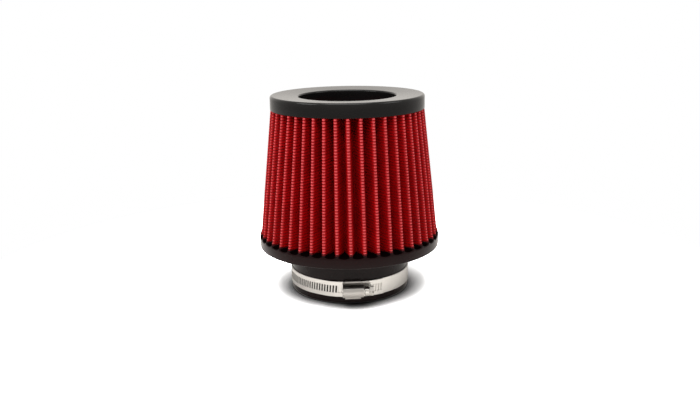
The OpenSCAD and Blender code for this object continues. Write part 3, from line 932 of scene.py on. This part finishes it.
class FILTER_OT_clamp_housing(bpy.types.Operator):
    """Press the housing: a tunnel over the worm and a flap round each edge of the band"""
    bl_idname = "filter.clamp_housing"
    bl_label = "Clamp housing"

    def execute(self, context):
        s = settings().clamp
        half_t = s.sheet / 2
        length = HOUSING_HIGH.x - HOUSING_LOW.x
        crown = SCREW_Y - HOUSING_LOW.y - half_t
        wall_foot = -3.1 * MM
        wall_in = 0.7 * MM
        steps = 28
        arch = [Vector((crown, wall_foot)), Vector((crown, wall_foot / 2))]
        arch += [along(math.pi * k / steps) * crown for k in range(steps + 1)]
        arch += [Vector((-crown, wall_foot / 2)), Vector((-crown, wall_foot))]
        tunnel = self.pressed("tunnel", arch, length, half_t, flare=s.flare)
        side = HOUSING_HIGH.z - SCREW_Z - half_t
        foot = SCREW_Y - HOUSING_HIGH.y + 0.1 * MM
        flange = -2.75 * MM
        # From the arch's foot in to the band, along it and round its edge
        line = [Vector((crown - 0.1 * MM, 0.2 * MM)), Vector((crown + 0.1 * MM, flange)),
                Vector((side - 0.3 * MM, flange - 0.1 * MM)), Vector((side, flange - 0.4 * MM)),
                Vector((side, foot))]
        upper = self.pressed("upper_flap", rounded(line), s.flap_l, half_t)
        line[2:] = [p + Vector((s.lower_flap, 0)) for p in line[2:]]
        mirrored = [Vector((-p.x, p.y)) for p in reversed(rounded(line))]
        lower = self.pressed("lower_flap", mirrored, s.flap_l, half_t)
        ends = [self.end_wall(x, crown, wall_foot, s)
                for x in (HOUSING_LOW.x + wall_in, HOUSING_HIGH.x - wall_in)]
        piece = merged("pressed_screw_housing", [tunnel, upper, lower, *ends])
        seat(piece, pressed_steel_material("pressed_stainless", tuple(s.pressing)),
             stands_for=["clamp_housing"])
        mark_sharp(piece)
        return {"FINISHED"}

    def pressed(self, name, line, length, half_t, flare=0.0):
        """A strip of sheet bent along a line of (up, out) points, with rounded edges, that
        flares at its end away from the screw's head."""
        stations = [-1, -0.97, -0.93, -0.88, -0.8, -0.4, 0, 0.4, 0.8, 1]
        flare_from = 0.8
        edge_round = 0.14 * MM
        n = len(line)
        normals = []
        for k in range(n):
            run = line[min(k + 1, n - 1)] - line[max(k - 1, 0)]
            normals.append(Vector((run.y, -run.x)).normalized())
        vertices = []
        for face in (half_t, -half_t):
            for t in stations:
                widen = flare * max(0.0, (-t - flare_from) / (1 - flare_from)) ** 2
                for p, normal in zip(line, normals):
                    q = p + normal * (face + widen)
                    vertices.append(on_screw(t * length / 2, q.x, q.y))
        rows = len(stations)
        top = [(r * n + k, r * n + k + 1, (r + 1) * n + k + 1, (r + 1) * n + k)
               for r in range(rows - 1) for k in range(n - 1)]
        under = rows * n
        faces = top + [tuple(under + i for i in reversed(face)) for face in top]
        rim = list(range(n)) + [r * n + n - 1 for r in range(1, rows)]
        rim += [(rows - 1) * n + k for k in reversed(range(n - 1))]
        rim += [r * n for r in reversed(range(1, rows - 1))]
        for a, b in zip(rim, rim[1:] + rim[:1]):
            faces.append((b, a, under + a, under + b))
        piece = link_mesh(name, vertices, faces)
        turn_faces_out(piece)
        self.soften(piece, edge_round)
        return piece

    def end_wall(self, x, crown, wall_foot, s):
        """A plate across the tunnel's end, with the hole that the screw turns in."""
        steps = 48
        half = 0.4 * MM
        clearance = 0.15 * MM
        hole = s.journal_r + clearance
        vertices = []
        for side in (-half, half):
            for k in range(steps):
                way = along(math.tau * k / steps)
                reach = crown
                if way.y < 0:
                    reach = min(crown / max(abs(way.x), 1e-6), wall_foot / way.y)
                vertices.append(on_screw(x + side, way.x * reach, way.y * reach))
            for k in range(steps):
                way = along(math.tau * k / steps)
                vertices.append(on_screw(x + side, way.x * hole, way.y * hole))
        faces = []
        for k in range(steps):
            j = (k + 1) % steps
            out_a, in_a, out_b, in_b = 0, steps, 2 * steps, 3 * steps
            faces.append((out_a + k, out_a + j, in_a + j, in_a + k))
            faces.append((out_b + j, out_b + k, in_b + k, in_b + j))
            faces.append((out_a + j, out_a + k, out_b + k, out_b + j))
            faces.append((in_a + k, in_a + j, in_b + j, in_b + k))
        piece = link_mesh("end_wall", vertices, faces)
        turn_faces_out(piece)
        return piece

    def soften(self, piece, width):
        """Rounds the sheet's cut edges."""
        bevel = piece.modifiers.new("worn_edges", "BEVEL")
        bevel.width = width
        bevel.segments = 2
        bevel.limit_method = "ANGLE"
        bevel.angle_limit = math.radians(50)
        apply_modifiers(piece)


class FILTER_OT_clamp_screw(bpy.types.Operator):
    """Turn the clamp's screw: worm thread, journals, collar and a slotted hexagon"""
    bl_idname = "filter.clamp_screw"
    bl_label = "Clamp screw"

    AROUND = 72

    def execute(self, context):
        s = settings().clamp
        tip, head = SCREW_LOW.x, SCREW_HIGH.x
        hex_x = head - s.hex_l
        collar_end = hex_x - NECK_GROOVE
        collar_x = collar_end - s.collar_l
        chamfer, edge = 0.5 * MM, 0.25 * MM
        core = [(tip, s.journal_r - chamfer), (tip + chamfer, s.journal_r),
                (head - 1 * MM, s.journal_r)]
        collar = [(collar_x, s.collar_r - edge), (collar_x + edge, s.collar_r),
                  (collar_end - edge, s.collar_r), (collar_end, s.collar_r - edge)]
        pieces = [self.turned("core", core), self.turned("collar", collar), self.worm(s),
                  self.hexagon(s, hex_x, head)]
        piece = merged("worm_clamp_screw", pieces)
        seat(piece, machined_steel_material("machined_screw_steel", tuple(s.screw)),
             body=SCREW_BODY, stands_for=["clamp_screw"])
        mark_sharp(piece)
        return {"FINISHED"}

    def turned(self, name, stations, shape=None):
        """A closed solid round the screw's axis through stations (x, radius). shape turns a
        station's x, an angle and its radius into the radius there."""
        n = self.AROUND
        vertices, faces = [], []
        for x, radius in stations:
            for k in range(n):
                a = math.tau * k / n
                r = shape(x, a, radius) if shape else radius
                vertices.append(on_screw(x, r * math.cos(a), r * math.sin(a)))
        for row in range(len(stations) - 1):
            for k in range(n):
                j = (k + 1) % n
                faces.append((row * n + k, row * n + j, (row + 1) * n + j, (row + 1) * n + k))
        faces.append(tuple(range(n)))
        faces.append(tuple(len(vertices) - n + k for k in range(n)))
        piece = link_mesh(name, vertices, faces)
        turn_faces_out(piece)
        return piece

    def worm(self, s):
        """The threaded middle: a right-hand helix with flat crests that fades at both ends."""
        end_wall, fade_l = 1.1 * MM, 0.6 * MM
        half = HOUSING_HIGH.x - end_wall
        rows = 96
        root = s.worm_r - s.thread_depth
        tooth_half, flank = 0.4, 8.0

        def thread(x, a, radius):
            turn = (x / s.thread_pitch + a / math.tau) % 1.0
            tooth = max(0.0, min(1.0, flank * (tooth_half - abs(turn - 0.5))))
            fade = min(1.0, (half - abs(x)) / fade_l)
            return root + s.thread_depth * tooth * max(0.0, fade)

        stations = [(-half + 2 * half * k / rows, root) for k in range(rows + 1)]
        return self.turned("worm", stations, thread)

    def hexagon(self, s, hex_x, head):
        """The hexagon with chamfered corners and a driver slot across its face."""
        apothem = s.hex_flats / 2
        corner = apothem / math.cos(math.radians(30))

        def flats(x, a, radius):
            off = (a + math.radians(30)) % math.radians(60) - math.radians(30)
            return min(radius, apothem / math.cos(off))

        chamfer, back, round_off = 0.55 * MM, 0.35 * MM, 0.3 * MM
        stations = [(hex_x, apothem - 0.1 * MM), (hex_x + back, corner),
                    (head - chamfer, corner), (head - chamfer * 0.5, corner - round_off),
                    (head, apothem - back)]
        piece = self.turned("hexagon", stations, flats)
        low = on_screw(head - s.driver_d, -s.driver_w / 2, s.hex_flats)
        high = on_screw(head + s.driver_d, s.driver_w / 2, -s.hex_flats)
        corners = [Vector((x, y, z)) for x in (low.x, high.x) for y in (low.y, high.y)
                   for z in (low.z, high.z)]
        sides = [(0, 1, 3, 2), (4, 6, 7, 5), (0, 4, 5, 1), (2, 3, 7, 6), (0, 2, 6, 4),
                 (1, 5, 7, 3)]
        cutter = link_mesh("driver_slot_cutter", corners, sides, smooth=False)
        turn_faces_out(cutter)
        cut = piece.modifiers.new("driver_slot", "BOOLEAN")
        cut.operation = "DIFFERENCE"
        cut.object = cutter
        cut.solver = "EXACT"
        apply_modifiers(piece)
        bpy.data.objects.remove(cutter)
        return piece


class FILTER_OT_stage(bpy.types.Operator):
    """Set the floor, the surroundings, the lamps and the camera"""
    bl_idname = "filter.stage"
    bl_label = "Studio stage"

    def execute(self, context):
        s = settings().stage
        self.floor(s)
        self.surroundings(s)
        self.lamps(s)
        self.camera(s)
        context.scene.view_settings.view_transform = "Standard"
        return {"FINISHED"}

    def floor(self, s):
        """A white floor: plain where it lights things, past white where it is looked at, so
        that only the object's shadow shows, and plain white far out."""
        half = 3.0
        floor = link_mesh("studio_floor", [(-half, -half, 0), (half, -half, 0),
                                           (half, half, 0), (-half, half, 0)], [(0, 1, 2, 3)])
        m = Shades("studio_floor_white")
        path = m.nodes.new("ShaderNodeLightPath").outputs
        in_gloss = m.maths("MAXIMUM", path["Is Glossy Ray"], path["Is Transmission Ray"])
        _, radius = m.height_and_radius()
        plain = (0.8, 0.8, 0.8)
        # Painted shadow: ambient occlusion darkens the floor that the camera sees round the foot
        under_rim = m.nodes.new("ShaderNodeAmbientOcclusion")
        under_rim.samples = 16
        under_rim.inputs["Distance"].default_value = s.shadow_reach
        open_sky = m.maths("POWER", under_rim.outputs["AO"], s.shadow_depth)
        seen = m.blend(in_gloss, plain, tinted(WARM, s.floor_mirrored))
        shaded = m.blend(open_sky, (0.0, 0.0, 0.0), (s.floor_seen,) * 3)
        seen = m.blend(path["Is Camera Ray"], seen, shaded)
        lit = m.nodes.new("ShaderNodeBsdfDiffuse")
        m.link(seen, lit.inputs["Color"])
        white = m.nodes.new("ShaderNodeEmission")
        m.link(m.blend(in_gloss, (1.0, 1.0, 1.0), tinted(WARM, s.far_mirrored)),
               white.inputs["Color"])
        seen_at_all = m.maths("MAXIMUM", in_gloss, path["Is Camera Ray"])
        far = m.between(radius, 0.0, 1.0, *s.floor_fade)
        mix = m.nodes.new("ShaderNodeMixShader")
        m.link(m.maths("MULTIPLY", far, seen_at_all), mix.inputs[0])
        m.link(lit.outputs[0], mix.inputs[1])
        m.link(white.outputs[0], mix.inputs[2])
        m.link(mix.outputs[0], m.nodes["Material Output"].inputs["Surface"])
        m.nodes.remove(m.shader)
        floor.data.materials.append(m.material)

    def surroundings(self, s):
        """A plain sky: dim where it lights things, warm white in gloss, white where it is
        looked at."""
        world = bpy.data.worlds.new("studio_white")
        bpy.context.scene.world = world
        world.use_nodes = True
        nodes, links = world.node_tree.nodes, world.node_tree.links
        nodes.clear()
        out = nodes.new("ShaderNodeOutputWorld")
        path = nodes.new("ShaderNodeLightPath").outputs
        larger = nodes.new("ShaderNodeMath")
        larger.operation = "MAXIMUM"
        links.new(path["Is Glossy Ray"], larger.inputs[0])
        links.new(path["Is Transmission Ray"], larger.inputs[1])
        in_gloss = larger.outputs[0]
        shown = None
        for colour, strength, ray in (((1, 1, 1), s.ambient, None), (WARM, 1.0, in_gloss),
                                      ((1, 1, 1), 1.0, path["Is Camera Ray"])):
            sky = nodes.new("ShaderNodeBackground")
            sky.inputs["Color"].default_value = (*colour, 1)
            sky.inputs["Strength"].default_value = strength
            if shown:
                mix = nodes.new("ShaderNodeMixShader")
                links.new(ray, mix.inputs[0])
                links.new(shown, mix.inputs[1])
                links.new(sky.outputs[0], mix.inputs[2])
                shown = mix.outputs[0]
            else:
                shown = sky.outputs[0]
        links.new(shown, out.inputs["Surface"])

    def lamps(self, s):
        """Softboxes left and right of the camera and one overhead, turned to the filter."""
        target = Vector((0, 0, 0.09))
        for name, place, size, power in (
                ("overhead_softbox", (-0.05, -0.4, 1.15), 0.9, s.overhead),
                ("left_softbox", (-0.95, -0.4, 0.75), 0.6, s.left),
                ("right_softbox", (0.95, -0.4, 0.75), 0.6, s.right)):
            lamp = bpy.data.lights.new(name, "AREA")
            lamp.shape = "SQUARE"
            lamp.size = size
            lamp.energy = power
            holder = bpy.data.objects.new(name, lamp)
            bpy.context.scene.collection.objects.link(holder)
            holder.location = place
            holder.rotation_euler = (target - holder.location).to_track_quat("-Z", "Y").to_euler()
            holder.visible_camera = False

    def camera(self, s):
        """The camera, placed and turned as for the photograph."""
        data = bpy.data.cameras.new("photo_camera")
        data.sensor_width = 36
        data.lens = s.lens
        data.shift_x = s.shift
        holder = bpy.data.objects.new("photo_camera", data)
        bpy.context.scene.collection.objects.link(holder)
        azimuth = s.camera_azimuth
        place = Vector((math.sin(azimuth) * s.camera_distance,
                        -math.cos(azimuth) * s.camera_distance, s.camera_height))
        look = (Matrix.Rotation(azimuth, 4, "Z")
                @ Matrix.Rotation(math.pi / 2 - s.camera_pitch, 4, "X")
                @ Matrix.Rotation(s.camera_roll, 4, "Z"))
        holder.matrix_world = Matrix.Translation(place) @ look
        bpy.context.scene.camera = holder


class FILTER_PT_panel(bpy.types.Panel):
    """Lists the steps that dress the filter"""
    bl_label = "Cone air filter"
    bl_idname = "FILTER_PT_panel"
    bl_space_type = "VIEW_3D"
    bl_region_type = "UI"
    bl_category = "Air Filter"

    def draw(self, context):
        for operator in OPERATORS:
            self.layout.operator(operator.bl_idname)


OPERATORS = (
    FILTER_OT_stage,
    FILTER_OT_outer_pleats,
    FILTER_OT_outer_screen,
    FILTER_OT_inner_cone,
    FILTER_OT_base,
    FILTER_OT_cap,
    FILTER_OT_clamp_band,
    FILTER_OT_clamp_housing,
    FILTER_OT_clamp_screw,
)

CLASSES = (
    PleatSettings, MouldingSettings, ClampSettings, StageSettings, FilterSettings,
    *OPERATORS, FILTER_PT_panel,
)


def register():
    for item in CLASSES:
        bpy.utils.register_class(item)
    bpy.types.Scene.filter_settings = PointerProperty(type=FilterSettings)


def unregister():
    del bpy.types.Scene.filter_settings
    for item in reversed(CLASSES):
        bpy.utils.unregister_class(item)


def main():
    register()
    bpy.ops.filter.stage()
    bpy.ops.filter.outer_pleats()
    bpy.ops.filter.outer_screen()
    bpy.ops.filter.inner_cone()
    bpy.ops.filter.base()
    bpy.ops.filter.cap()
    bpy.ops.filter.clamp_band()
    bpy.ops.filter.clamp_housing()
    bpy.ops.filter.clamp_screw()


if __name__ == "__main__":
    main()
